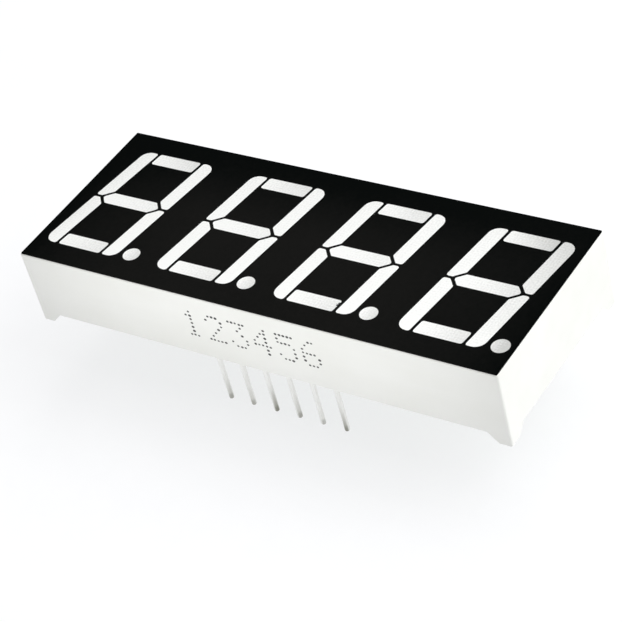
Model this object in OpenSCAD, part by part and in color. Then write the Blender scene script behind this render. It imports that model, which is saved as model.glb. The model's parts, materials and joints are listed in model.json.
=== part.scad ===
// Four digit seven segment LED display module with decimal points, for through-hole mounting.
//
// The module stands on its pins with its face up. The origin is on the surface under the pin tips,
// below the middle of the face. +X runs along the row of digits, +Y towards the tops of the digits
// and +Z out of the face. All sizes are in millimetres.

/* [Housing] */
// Length of the housing, along the row of digits
housing_length = 50.3; // [50:0.1:64]
// Width of the housing, across the digits
housing_width = 19.0; // [18.4:0.1:24]
// Height of the housing, from its feet to the face
housing_height = 8.0; // [6.4:0.1:12]
// Thickness of the skirt round the board
skirt_wall = 1.0; // [0.7:0.05:1.1]
// Radius of the upright outer corners
corner_radius = 0.2; // [0.2:0.05:1]
// Radius of the edge round the face
face_edge_radius = 0.1; // [0.05:0.01:0.15]
// Radius of the corners inside the skirt
recess_corner_radius = 0.5; // [0.4:0.05:1]
// Height of the corner feet, which is also the run of the slope beside each foot
foot_height = 1.0; // [0.5:0.1:1.6]
// Length of the flat under each foot, along each wall
foot_length = 1.25; // [0.8:0.05:3]
// Thickness left between a light cavity and the moulding core beside it
core_wall = 0.5; // [0.35:0.05:0.8]
// Thickness left between the face and the moulding cores
core_roof = 1.0; // [0.6:0.1:2]

/* [Digits] */
// Distance from one digit to the next
digit_pitch = 12.7; // [12.2:0.1:12.8]
// Height of a digit, over its top and bottom bars
digit_height = 14.2; // [11.5:0.1:14.4]
// Width of a digit, over its upright bars and before it leans
digit_width = 8.35; // [7:0.05:8.8]
// Lean of the digits from upright, in degrees
digit_slant = 7.5; // [0:0.5:10]
// Width of every bar
bar_width = 1.5; // [1.2:0.05:1.8]
// Width of the wall between two bars, at the face
bar_gap = 0.3; // [0.2:0.05:0.5]
// How far the points of the middle bar stop short of the centre lines of the upright bars
point_setback = 0.2; // [0.15:0.01:0.35]
// Radius of the outer corners of a digit
digit_corner_radius = 1.0; // [0.4:0.05:1.2]
// Radius of the other corners of a bar
bar_corner_radius = 0.2; // [0.08:0.01:0.25]
// Diameter of a decimal point
point_diameter = 1.65; // [1.5:0.05:2]
// Space between a decimal point and the digit before it
point_gap = 0.5; // [0.3:0.01:0.8]
// Thickness of the black print on the face
print_thickness = 0.1; // [0.05:0.01:0.2]
// Size of a bar's cavity at the board, as a share of its size at the face
bar_taper = 0.55; // [0.5:0.01:0.7]
// Size of a decimal point's cavity at the board, as a share of its size at the face
point_taper = 0.75; // [0.7:0.01:0.9]

/* [Board] */
// Thickness of the circuit board
board_thickness = 1.0; // [0.8:0.1:1.6]
// Space between the edge of the board and the skirt
board_clearance = 0.15; // [0.05:0.05:0.25]
// Radius of the board's corners
board_corner_radius = 0.35; // [0.2:0.05:0.4]
// Thickness of each copper layer, and of the plating in the pin holes
copper_thickness = 0.05; // [0.03:0.01:0.08]
// Width of a copper track
track_width = 0.2; // [0.15:0.01:0.25]
// Space between a track and what it passes beside
track_spacing = 0.25; // [0.15:0.01:0.3]
// Diameter of a via
via_diameter = 0.3; // [0.2:0.05:0.35]
// Diameter of the copper round a via on the back of the board
via_pad_diameter = 0.5; // [0.45:0.05:0.55]
// Diameter of the pads that the wires are bonded to
bond_pad_diameter = 0.4; // [0.36:0.02:0.44]
// Diameter of the pads that the dice are mounted on
chip_pad_diameter = 0.5; // [0.48:0.02:0.6]
// Diameter of the copper round a pin
pin_pad_diameter = 1.3; // [1.1:0.1:1.4]
// Diameter of the plated hole round a pin
pin_hole_diameter = 0.8; // [0.7:0.05:0.9]
// Diameter of the two pegs that place the board
peg_diameter = 1.2; // [0.8:0.1:1.6]
// Space round a peg in its hole in the board
peg_clearance = 0.1; // [0.05:0.05:0.2]
// How far a peg stands out of the back of the board
peg_reach = 0.3; // [0.1:0.05:0.5]

/* [Dice] */
// Side of an LED die
chip_side = 0.3; // [0.22:0.01:0.33]
// Height of an LED die
chip_height = 0.25; // [0.15:0.01:0.35]
// Diameter of a bond wire
bond_wire_diameter = 0.04; // [0.03:0.005:0.05]

/* [Pins] */
// Distance between neighbouring pins of a row
pin_pitch = 2.54; // [2:0.01:2.54]
// Distance between the two rows of pins
pin_row_spacing = 15.24; // [15.1:0.01:15.3]
// Length of a pin below the feet
pin_length = 6.0; // [3:0.1:12]
// Diameter of a pin where it is tinned
pin_diameter = 0.5; // [0.4:0.01:0.6]
// Thickness of the tin on a pin
tin_thickness = 0.01; // [0.005:0.001:0.02]
// How far the tin ends below the edge of the skirt
tin_setback = 0.2; // [0.15:0.05:0.5]
// Height of the chamfer at a pin's tip
tip_chamfer = 0.08; // [0.04:0.01:0.12]
// How far a pin stands out of the front of the board
pin_head = 0.4; // [0.2:0.05:0.8]
// Space round and above the head of a pin in its pocket in the reflector
pin_head_clearance = 0.2; // [0.1:0.05:0.25]

/* [Resin and solder] */
// Depth of the resin below the edge of the skirt
potting_inset = 0.5; // [0.4:0.05:1]
// Thickness of the resin over the back of the board
potting_thickness = 0.9; // [0.8:0.05:1.2]
// Radius of the resin's rise against the skirt and the pins
meniscus_radius = 0.25; // [0.1:0.05:0.3]
// Radius of the hollow face of a solder joint
solder_radius = 0.36; // [0.25:0.01:0.38]
// Thickness at the thin edges of a solder joint and of the resin's rise
feather = 0.04; // [0.02:0.01:0.06]

/* [Hidden] */
$fn = 48;

digit_count = 4;
BARS = ["a", "b", "c", "d", "e", "f", "g"];
POINT = "p";
NETS = concat(BARS, [POINT]);

// The net of each pin: a bar, the point, or the common of a digit. Pins 1 to 6 run from left to
// right along the bottom of the digits, and pins 7 to 12 from right to left along their tops.
PIN_NETS = ["e", "d", "p", "c", "g", "4", "b", "3", "2", "f", "a", "1"];
pin_count = len(PIN_NETS);
pins_per_row = pin_count / 2;

function segment_name(digit, bar) = str("segment_", digit, bar);
function point_name(digit) = str("decimal_point_", digit);
function pin_name(pin) = str("pin_", pin < 10 ? "0" : "", pin);

// Heights above the surface that the pins stand on
foot_plane = pin_length;
skirt_edge = foot_plane + foot_height;
potting_face = skirt_edge + potting_inset;
board_back = potting_face + potting_thickness;
board_front = board_back + board_thickness;
face = foot_plane + housing_height;
reflector_top = face - print_thickness;

// Plan sizes
recess_length = housing_length - 2 * skirt_wall;
recess_width = housing_width - 2 * skirt_wall;
board_length = recess_length - 2 * board_clearance;
board_width = recess_width - 2 * board_clearance;
wire_diameter = pin_diameter - 2 * tin_thickness;

// How far a cutter runs past the solid it cuts
past = 0.5;

// ---- Digit layout. Places are [u, v] from the middle of the digit before it leans.

half_height = digit_height / 2;
outer = digit_width / 2;
inner = outer - bar_width;
bar_reach = inner - bar_gap;
point_tip = (inner + outer) / 2 - point_setback;
// The slanting end of an upright bar lies on u + v = miter
miter = point_tip + bar_gap * sqrt(2);

function digit_x(digit) = (digit - (digit_count + 1) / 2) * digit_pitch;
function lean(place) = [place[0] + place[1] * tan(digit_slant), place[1]];
function on_face(digit, place) = [digit_x(digit), 0] + lean(place);

// Corners of the outlines as [u, v, radius], anticlockwise
TOP_BAR = [
    [-bar_reach, half_height - bar_width, bar_corner_radius],
    [bar_reach, half_height - bar_width, bar_corner_radius],
    [bar_reach, half_height, bar_corner_radius],
    [-bar_reach, half_height, bar_corner_radius]
];
UPPER_RIGHT_BAR = [
    [inner, miter - inner, bar_corner_radius],
    [miter - bar_gap / 2, bar_gap / 2, bar_corner_radius],
    [outer, bar_gap / 2, bar_corner_radius],
    [outer, half_height, digit_corner_radius],
    [inner, half_height, bar_corner_radius]
];
MIDDLE_BAR = [
    [-point_tip, 0, bar_corner_radius],
    [bar_width / 2 - point_tip, -bar_width / 2, bar_corner_radius],
    [point_tip - bar_width / 2, -bar_width / 2, bar_corner_radius],
    [point_tip, 0, bar_corner_radius],
    [point_tip - bar_width / 2, bar_width / 2, bar_corner_radius],
    [bar_width / 2 - point_tip, bar_width / 2, bar_corner_radius]
];

function reversed(list) = [for (i = [len(list) - 1:-1:0]) list[i]];
function mirrored(corners, u, v) =
    let (turned = [for (c = corners) [u * c[0], v * c[1], c[2]]])
    u * v < 0 ? reversed(turned) : turned;

function bar_corners(bar) =
    bar == "a" ? TOP_BAR :
    bar == "b" ? UPPER_RIGHT_BAR :
    bar == "c" ? mirrored(UPPER_RIGHT_BAR, 1, -1) :
    bar == "d" ? mirrored(TOP_BAR, 1, -1) :
    bar == "e" ? mirrored(UPPER_RIGHT_BAR, -1, -1) :
    bar == "f" ? mirrored(UPPER_RIGHT_BAR, -1, 1) :
    MIDDLE_BAR;

// The middle of a bar or of the point, which is the middle of its cavity too
upright_u = (inner + outer) / 2;
upright_v = (half_height + bar_gap / 2) / 2;
function middle(bar) =
    bar == "a" ? [0, half_height - bar_width / 2] :
    bar == "b" ? [upright_u, upright_v] :
    bar == "c" ? [upright_u, -upright_v] :
    bar == "d" ? [0, bar_width / 2 - half_height] :
    bar == "e" ? [-upright_u, -upright_v] :
    bar == "f" ? [-upright_u, upright_v] :
    bar == POINT ? [outer + point_gap + point_diameter / 2, point_diameter / 2 - half_height] :
    [0, 0];

function unit(v) = v / norm(v);

// An arc of the given radius that touches both sides of the corner at `at`, within `reach` of it
function corner_arc(before, at, after, radius, reach) =
    let (
        a = unit(before - at),
        b = unit(after - at),
        half = acos(a * b) / 2,
        r = min(radius, reach * tan(half)),
        centre = at + unit(a + b) * r / sin(half),
        start = -unit(a + b) * rotation(90 - half),
        steps = max(2, ceil(6 * r))
    )
    [for (i = [0:steps]) centre + r * (start * rotation(-(180 - 2 * half) * i / steps))];

// Row vector times this matrix turns the vector clockwise by the angle
function rotation(angle) = [[cos(angle), -sin(angle)], [sin(angle), cos(angle)]];

// An outline with rounded corners. Neighbouring arcs share the side between them as their radii
// stand.
function rounded_outline(places, radii) =
    let (count = len(places))
    [for (i = [0:count - 1])
        let (
            before = (i + count - 1) % count,
            after = (i + 1) % count,
            reach = min([for (j = [before, after])
                norm(places[j] - places[i]) * radii[i] / (radii[i] + radii[j])])
        )
        each corner_arc(places[before], places[i], places[after], radii[i], reach)];

// The outline of a bar on the face
function bar_outline(digit, bar) =
    let (corners = bar_corners(bar))
    rounded_outline([for (c = corners) on_face(digit, c)], [for (c = corners) c[2]]);

// An outline at height z, drawn to size k about a centre
function ring(outline, centre, k, z) =
    [for (p = outline) let (q = centre + k * (p - centre)) [q[0], q[1], z]];

// ---- General shapes

// A closed solid through rings of equally many points, from the lowest ring to the highest
module loft(rings) {
    count = len(rings[0]);
    last = (len(rings) - 1) * count;
    sides = [
        for (level = [0:len(rings) - 2]) for (i = [0:count - 1])
            let (base = level * count, next = (i + 1) % count)
            [base + i, base + count + i, base + count + next, base + next]
    ];
    polyhedron(
        points = [for (r = rings) each r],
        faces = concat(
            [[for (i = [0:count - 1]) i]],
            sides,
            [[for (i = [count - 1:-1:0]) last + i]]
        )
    );
}

module rounded_rectangle(length, width, radius) {
    square([length - 2 * radius, width], center = true);
    square([length, width - 2 * radius], center = true);
    for (x = [-1, 1], y = [-1, 1])
        translate([x * (length / 2 - radius), y * (width / 2 - radius)])
            circle(r = radius);
}

// Half of an upright section from the middle out to `reach`, with a rounded upper outer corner
module rounded_section(reach, height, edge) {
    square([reach, height - edge]);
    square([reach - edge, height]);
    translate([reach - edge, height - edge])
        intersection() {
            circle(r = edge);
            square(edge);
        }
}

// An upright block with rounded corners, whose top has a rounded edge
module rounded_block(length, width, height, corner, edge) {
    for (turn = [0, 180]) {
        rotate([0, 0, turn])
            translate([0, width / 2 - corner, 0])
                rotate([90, 0, 0])
                    linear_extrude(width - 2 * corner)
                        rounded_section(length / 2, height, edge);
        rotate([0, 0, turn + 90])
            translate([0, length / 2 - corner, 0])
                rotate([90, 0, 0])
                    linear_extrude(length - 2 * corner)
                        rounded_section(width / 2, height, edge);
    }
    for (x = [-1, 1], y = [-1, 1])
        translate([x * (length / 2 - corner), y * (width / 2 - corner), 0])
            rotate_extrude()
                rounded_section(corner, height, edge);
}

// A ring with a hollow face that rises round a rod: wide at z = 0 and narrow at the top
module fillet_ring(rod_radius, radius) {
    side = radius + feather;
    rotate_extrude()
        translate([rod_radius, 0])
            difference() {
                square(side);
                translate([side, side])
                    circle(r = radius);
            }
}

module upright_rod(diameter, from, to) {
    translate([0, 0, from])
        cylinder(d = diameter, h = to - from);
}

// ---- Places

function pin_x(pin) =
    ((pin <= pins_per_row ? pin : pin_count + 1 - pin) - (pins_per_row + 1) / 2) * pin_pitch;
function pin_y(pin) = (pin <= pins_per_row ? -1 : 1) * pin_row_spacing / 2;
function pin_place(pin) = [pin_x(pin), pin_y(pin)];

module at_every_pin() {
    for (pin = [1:pin_count])
        translate(pin_place(pin))
            children();
}

// The pegs stand between digits, and between the tracks of bars g and b on the back of the board
module at_every_peg() {
    for (side = [-1, 1])
        translate([side * digit_pitch, net_y("b") / 2])
            children();
}

// ---- Housing: reflector block, skirt and feet in one moulding

// The space of a light cavity, open at both ends when `reach` is above 0
module bar_cavity(digit, bar, roof, reach) {
    outline = bar_outline(digit, bar);
    centre = on_face(digit, middle(bar));
    loft(concat(
        reach > 0 ? [ring(outline, centre, bar_taper, board_front - reach)] : [],
        [
            ring(outline, centre, bar_taper, board_front),
            ring(outline, centre, 1, reflector_top),
            ring(outline, centre, 1, roof)
        ]
    ));
}

module point_cavity(digit, roof, reach) {
    translate(on_face(digit, middle(POINT))) {
        upright_rod(point_diameter, reflector_top, roof);
        translate([0, 0, board_front])
            cylinder(
                d1 = point_diameter * point_taper,
                d2 = point_diameter,
                h = reflector_top - board_front
            );
        if (reach > 0)
            upright_rod(point_diameter * point_taper, board_front - reach, board_front);
    }
}

// A tapered hollow under each counter of a digit, which keeps the walls of the moulding even
module core(digit, side) {
    core_top = reflector_top - core_roof;
    // Share of the reflector's depth that the hollow takes
    depth_share = (core_top - board_front) / (reflector_top - board_front);
    function half_bar(share) = bar_width / 2 * (bar_taper + (1 - bar_taper) * share);
    function core_corners(share) =
        let (
            u = upright_u - half_bar(share) - core_wall,
            low = half_bar(share) + core_wall,
            high = half_height - bar_width / 2 - half_bar(share) - core_wall
        )
        [for (c = [[-u, low], [u, low], [u, high], [-u, high]]) on_face(digit, [c[0], side * c[1]])];
    function core_ring(share, z) =
        let (
            corners = side > 0 ? core_corners(share) : reversed(core_corners(share)),
            radii = [for (corner = corners) recess_corner_radius]
        )
        [for (p = rounded_outline(corners, radii)) [p[0], p[1], z]];
    loft([
        core_ring(0, board_front - past),
        core_ring(0, board_front),
        core_ring(depth_share, core_top)
    ]);
}

// The space between the feet, right through the skirt under two facing walls of length `span`
module foot_notch(span, across) {
    flat = span / 2 - foot_length;
    rotate([90, 0, 0])
        linear_extrude(across + 2 * past, center = true)
            polygon([
                [-flat - past, foot_plane - past],
                [flat + past, foot_plane - past],
                [flat - foot_height, skirt_edge],
                [foot_height - flat, skirt_edge]
            ]);
}

module housing() {
    color("#eceae4") {
        difference() {
            translate([0, 0, foot_plane])
                rounded_block(
                    housing_length, housing_width, housing_height - print_thickness,
                    corner_radius, face_edge_radius
                );
            translate([0, 0, foot_plane - past])
                linear_extrude(board_front - foot_plane + past)
                    rounded_rectangle(recess_length, recess_width, recess_corner_radius);
            foot_notch(housing_length, housing_width);
            rotate([0, 0, 90])
                foot_notch(housing_width, housing_length);
            for (digit = [1:digit_count]) {
                for (bar = BARS)
                    bar_cavity(digit, bar, reflector_top + past, past);
                point_cavity(digit, reflector_top + past, past);
                for (side = [-1, 1])
                    core(digit, side);
            }
            at_every_pin()
                upright_rod(
                    wire_diameter + 2 * pin_head_clearance,
                    board_front - past,
                    board_front + pin_head + pin_head_clearance
                );
        }
        at_every_peg()
            upright_rod(peg_diameter, board_back - peg_reach, board_front + past);
    }
}

// ---- Black print on the face

module face_print() {
    color("#141414")
        translate([0, 0, reflector_top])
            linear_extrude(print_thickness)
                difference() {
                    rounded_rectangle(
                        housing_length - 2 * face_edge_radius,
                        housing_width - 2 * face_edge_radius,
                        corner_radius - face_edge_radius
                    );
                    for (digit = [1:digit_count]) {
                        for (bar = BARS)
                            polygon(bar_outline(digit, bar));
                        translate(on_face(digit, middle(POINT)))
                            circle(d = point_diameter);
                    }
                }
}

// ---- Resin bars and points, cast round the dice and their wires

module segment(digit, bar) {
    color("#f4f4f0")
        difference() {
            bar_cavity(digit, bar, face, 0);
            led_chip(digit, bar);
            bond_wire(digit, bar);
        }
}

module decimal_point(digit) {
    color("#f4f4f0")
        difference() {
            point_cavity(digit, face, 0);
            led_chip(digit, POINT);
            bond_wire(digit, POINT);
        }
}

// ---- LED dice and bond wires

// From the middle of a cavity to its die, and to the pad that its wire is bonded to. The pads of
// each bar lie at a height of their own, so that one straight track on the back joins them all.
function chip_offset(bar) = bar == POINT ? [-0.2, 0.2] : [0, 0];
function pad_offset(bar) =
    bar == "a" ? [1, 0] :
    bar == "b" ? lean([0, -1]) :
    bar == "c" ? lean([0, 1]) :
    bar == "d" ? [-1, 0.2] :
    bar == "e" ? lean([0, -1]) :
    bar == "f" ? lean([0, 1]) :
    bar == "g" ? [-0.9, 0] :
    [-0.2, -0.4];

function chip_place(digit, bar) = on_face(digit, middle(bar)) + chip_offset(bar);
function pad_place(digit, bar) = on_face(digit, middle(bar)) + pad_offset(bar);

module led_chip(digit, bar) {
    place = chip_place(digit, bar);
    translate([place[0], place[1], board_front + chip_height / 2])
        cube([chip_side, chip_side, chip_height], center = true);
}

// A half circle from the top of the die, then straight down to the pad
module bond_wire(digit, bar) {
    start = chip_place(digit, bar);
    run = pad_place(digit, bar) - start;
    reach = norm(run);
    translate([start[0], start[1], board_front])
        rotate([0, 0, atan2(run[1], run[0])]) {
            translate([reach / 2, 0, chip_height])
                rotate([90, 0, 0])
                    rotate_extrude(angle = 180)
                        translate([reach / 2, 0])
                            circle(d = bond_wire_diameter);
            translate([reach, 0, 0])
                cylinder(d = bond_wire_diameter, h = chip_height);
        }
}

module led_chips() {
    color("#c8a03c")
        for (digit = [1:digit_count], net = NETS)
            led_chip(digit, net);
}

module bond_wires() {
    color("#e0b040")
        for (digit = [1:digit_count], net = NETS)
            bond_wire(digit, net);
}

// ---- Copper: a track along the back for each bar, and the commons of the digits on the front

module track(from, to) {
    run = to - from;
    translate(from)
        rotate(atan2(run[1], run[0]))
            translate([-track_width / 2, -track_width / 2])
                square([norm(run) + track_width, track_width]);
}

module tracks(places) {
    for (i = [0:len(places) - 2])
        track(places[i], places[i + 1]);
}

function net_y(net) = pad_place(1, net)[1];
function pin_of(net) = search([net], PIN_NETS)[0] + 1;
// Where the track from a net's pin meets the net's track along the back
function riser_top(net) = [pin_x(pin_of(net)), net_y(net)];
// The bar at the top and the point are next to their pins, so their risers stay on the back
function rises_on_back(net) = net == "a" || net == POINT;

// The places that the common of a digit runs through from its pin
function common_route(digit) =
    let (
        pin = pin_place(pin_of(str(digit))),
        top = chip_place(digit, "a"),
        right = chip_place(digit, "b"),
        bottom = chip_place(digit, "d"),
        beside = pad_place(digit, "f") + [(bond_pad_diameter + track_width) / 2 + track_spacing, 0]
    )
    digit == 1 ? [pin, [top[0], pin[1]], top] :
    digit == 2 ? [pin, [pin[0], right[1]], right] :
    digit == 3 ? [pin, beside, chip_place(digit, "f")] :
    [pin, [bottom[0], pin[1]], bottom];

// The common joins the two dice on the left of a digit past a waist, clear of the riser to bar g
function left_route(digit) = [
    chip_place(digit, "f"),
    on_face(digit, [-upright_u - track_width / 2 - track_spacing, 0]),
    chip_place(digit, "e")
];

// Other pairs of dice that the common joins. The riser to bar e passes the bottom die of digit 2 on
// its right, so that die is reached from the left.
function common_pairs(digit) = [
    ["f", "g"], ["g", "b"], ["g", "c"], ["b", "a"], ["c", POINT],
    ["d", digit == 2 ? "e" : "c"]
];

module front_copper() {
    for (digit = [1:digit_count]) {
        for (net = NETS) {
            translate(chip_place(digit, net))
                circle(d = chip_pad_diameter);
            translate(pad_place(digit, net))
                circle(d = bond_pad_diameter);
        }
        tracks(common_route(digit));
        tracks(left_route(digit));
        for (pair = common_pairs(digit))
            track(chip_place(digit, pair[0]), chip_place(digit, pair[1]));
    }
    for (net = NETS)
        if (!rises_on_back(net)) {
            track(pin_place(pin_of(net)), riser_top(net));
            translate(riser_top(net))
                circle(d = bond_pad_diameter);
        }
    at_every_pin()
        circle(d = pin_pad_diameter);
}

module back_copper() {
    for (net = NETS) {
        track(pad_place(1, net), pad_place(digit_count, net));
        if (rises_on_back(net))
            track(pin_place(pin_of(net)), riser_top(net));
    }
    at_every_via()
        circle(d = via_pad_diameter);
    at_every_pin()
        circle(d = pin_pad_diameter);
}

module at_every_via() {
    for (net = NETS) {
        for (digit = [1:digit_count])
            translate(pad_place(digit, net))
                children();
        if (!rises_on_back(net))
            translate(riser_top(net))
                children();
    }
}

// Both layers, the vias and the plated holes, still filled where the pins go
module copper_blank() {
    translate([0, 0, board_front - copper_thickness])
        linear_extrude(copper_thickness)
            front_copper();
    translate([0, 0, board_back])
        linear_extrude(copper_thickness)
            back_copper();
    at_every_via()
        upright_rod(via_diameter, board_back, board_front);
    at_every_pin()
        upright_rod(pin_hole_diameter + 2 * copper_thickness, board_back, board_front);
}

module copper_tracks() {
    color("#b87333")
        difference() {
            copper_blank();
            at_every_pin()
                upright_rod(pin_hole_diameter, board_back - past, board_front + past);
        }
}

module circuit_board() {
    color("#2c6a3c")
        difference() {
            translate([0, 0, board_back])
                linear_extrude(board_thickness)
                    difference() {
                        rounded_rectangle(board_length, board_width, board_corner_radius);
                        at_every_peg()
                            circle(d = peg_diameter + 2 * peg_clearance);
                    }
            copper_blank();
        }
}

// ---- Solder, resin over the back, and pins

module solder_joint() {
    translate([0, 0, board_back])
        mirror([0, 0, 1])
            fillet_ring(wire_diameter / 2, solder_radius);
    difference() {
        upright_rod(pin_hole_diameter, board_back, board_front);
        upright_rod(wire_diameter, board_back - past, board_front + past);
    }
}

module solder_joints() {
    color("#b9bcc0")
        at_every_pin()
            solder_joint();
}

module back_potting() {
    rim = potting_face - meniscus_radius - feather;
    color("#e8e6d8", 0.5) {
        difference() {
            translate([0, 0, rim])
                linear_extrude(board_front - rim)
                    rounded_rectangle(recess_length, recess_width, recess_corner_radius);
            translate([0, 0, board_back])
                linear_extrude(board_thickness + past)
                    rounded_rectangle(board_length, board_width, board_corner_radius);
            translate([0, 0, rim - past])
                rounded_block(
                    recess_length - 2 * feather, recess_width - 2 * feather,
                    potting_face - rim + past,
                    recess_corner_radius - feather, meniscus_radius
                );
            at_every_pin() {
                upright_rod(wire_diameter, rim - past, board_back);
                translate([0, 0, board_back])
                    mirror([0, 0, 1])
                        fillet_ring(wire_diameter / 2, solder_radius);
            }
            at_every_peg()
                upright_rod(peg_diameter, board_back - peg_reach, board_back);
        }
        at_every_pin()
            translate([0, 0, potting_face])
                mirror([0, 0, 1])
                    fillet_ring(wire_diameter / 2, meniscus_radius);
    }
}

module pin(number) {
    tip_diameter = pin_diameter - 2 * tip_chamfer;
    color("#c9ccd0")
        translate(pin_place(number)) {
            cylinder(d1 = tip_diameter, d2 = pin_diameter, h = tip_chamfer);
            upright_rod(pin_diameter, tip_chamfer, skirt_edge - tin_setback);
            upright_rod(wire_diameter, skirt_edge - tin_setback, board_front + pin_head);
        }
}

housing();
face_print();
for (digit = [1:digit_count], bar = BARS)
    segment(digit, bar);
for (digit = [1:digit_count])
    decimal_point(digit);
circuit_board();
copper_tracks();
led_chips();
bond_wires();
solder_joints();
back_potting();
for (number = [1:pin_count])
    pin(number);
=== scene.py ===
"""Finishes, floor, light and camera for a four digit seven segment display module.

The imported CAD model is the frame: its nodes keep their shapes and get their finishes here. Two
kinds of piece are made new, both with Geometry Nodes: the tinned wires that stand for the plain
pins, and the dots of the pin numbers printed on the front wall. Sizes are in millimetres and are
turned into metres where a mesh or a shader is made.
"""

import json
import logging
import math
from abc import ABC, abstractmethod
from dataclasses import dataclass, field
from enum import Enum
from typing import Any, Mapping, Optional, Sequence, Union

import bpy
from mathutils import Matrix, Vector


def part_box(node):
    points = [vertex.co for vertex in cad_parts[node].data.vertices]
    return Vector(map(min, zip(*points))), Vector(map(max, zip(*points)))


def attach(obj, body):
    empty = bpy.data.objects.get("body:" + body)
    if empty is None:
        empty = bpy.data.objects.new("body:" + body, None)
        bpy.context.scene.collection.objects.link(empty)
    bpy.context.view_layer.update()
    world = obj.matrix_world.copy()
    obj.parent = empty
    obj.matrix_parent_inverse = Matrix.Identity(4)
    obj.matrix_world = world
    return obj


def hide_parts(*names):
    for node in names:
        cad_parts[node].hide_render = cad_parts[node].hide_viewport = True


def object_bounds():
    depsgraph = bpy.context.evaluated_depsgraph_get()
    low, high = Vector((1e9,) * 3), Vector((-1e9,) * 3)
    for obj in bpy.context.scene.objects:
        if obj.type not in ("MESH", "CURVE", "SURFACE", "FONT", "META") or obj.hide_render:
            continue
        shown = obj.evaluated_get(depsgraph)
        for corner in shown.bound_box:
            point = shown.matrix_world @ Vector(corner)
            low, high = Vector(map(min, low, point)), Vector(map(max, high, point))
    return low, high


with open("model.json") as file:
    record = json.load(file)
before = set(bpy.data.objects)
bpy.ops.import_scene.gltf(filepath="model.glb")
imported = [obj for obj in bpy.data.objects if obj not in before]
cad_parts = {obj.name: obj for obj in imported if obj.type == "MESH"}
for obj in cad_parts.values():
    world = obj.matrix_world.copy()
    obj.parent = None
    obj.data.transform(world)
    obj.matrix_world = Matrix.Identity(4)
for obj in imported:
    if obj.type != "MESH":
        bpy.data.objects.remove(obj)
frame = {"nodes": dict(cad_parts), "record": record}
cad_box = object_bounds()

MM = 0.001
BODY = "root"
NOISE_SPAN = (0.3, 0.7)
MIX_FIRST, MIX_SECOND, MIX_RESULT = 6, 7, 2

Colour = tuple[float, float, float]
Number = Union[float, "Value"]
Settings = Optional[Mapping[str, Any]]
Inputs = Optional[Mapping[Union[str, int], Any]]

log = logging.getLogger("display_module")


class Slot(Enum):
    """The material slots of the record that a node or a piece takes its finish from."""

    HOUSING = "housing_plastic"
    INK = "face_ink"
    RESIN = "diffused_resin"
    LAMINATE = "board_laminate"
    COPPER = "copper"
    DIE = "die"
    WIRE = "gold_wire"
    SOLDER = "solder"
    POTTING = "clear_resin"
    PIN = "tinned_wire"


class Axis(Enum):
    """An axis of the row's frame, with the name of its output on a Separate XYZ node."""

    X = "X"
    Y = "Y"
    Z = "Z"


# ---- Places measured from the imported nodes, in millimetres


def middle(node: str) -> Vector:
    """The middle of a node's box."""
    low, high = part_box(node)
    return (low + high) / 2 / MM


def extent(node: str) -> Vector:
    """The sizes of a node's box."""
    low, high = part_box(node)
    return (high - low) / MM


@dataclass(frozen=True)
class DigitGrid:
    """Where the bars and points lie across and along every digit.

    The lean is how far a digit runs to the right for each millimetre of rise. A reach is half the
    length of a level bar, of which the middle one ends in points.
    """

    first: float
    pitch: float
    lean: float
    half_height: float
    bar_reach: float
    middle_reach: float
    point_place: float
    point_radius: float

    @classmethod
    def measured(cls) -> "DigitGrid":
        """The grid of the first two digits, which the others repeat.

        Returns:
            The grid.
        """
        first, second = middle("segment_1g").x, middle("segment_2g").x
        top, foot, point = middle("segment_1a"), middle("segment_1d"), middle("decimal_point_1")
        lean = (top.x - foot.x) / (top.y - foot.y)
        bar = extent("segment_1a")
        return cls(
            first=first,
            pitch=second - first,
            lean=lean,
            half_height=top.y + bar.y / 2,
            bar_reach=(bar.x - bar.y * lean) / 2,
            middle_reach=extent("segment_1g").x / 2,
            point_place=point.x - point.y * lean - first,
            point_radius=extent("decimal_point_1").x / 2,
        )


@dataclass(frozen=True)
class PinGrid:
    """Where the pins stand: the first one's place in its row, the pitch, half the row spacing."""

    first: float
    pitch: float
    half_spacing: float

    @classmethod
    def measured(cls) -> "PinGrid":
        """The grid of the pins, from the first two of the front row."""
        first, second = middle("pin_01"), middle("pin_02")
        return cls(first.x, second.x - first.x, abs(first.y))

    def around(self, graph: "ShaderGraph") -> tuple["Value", "Value"]:
        """How far a point lies from the nearest pin, along the rows and out from between them."""
        aside = graph.along(Axis.X).wrapped(self.first, self.pitch)
        return aside, abs(graph.along(Axis.Y)) - self.half_spacing


# ---- Node trees


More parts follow.
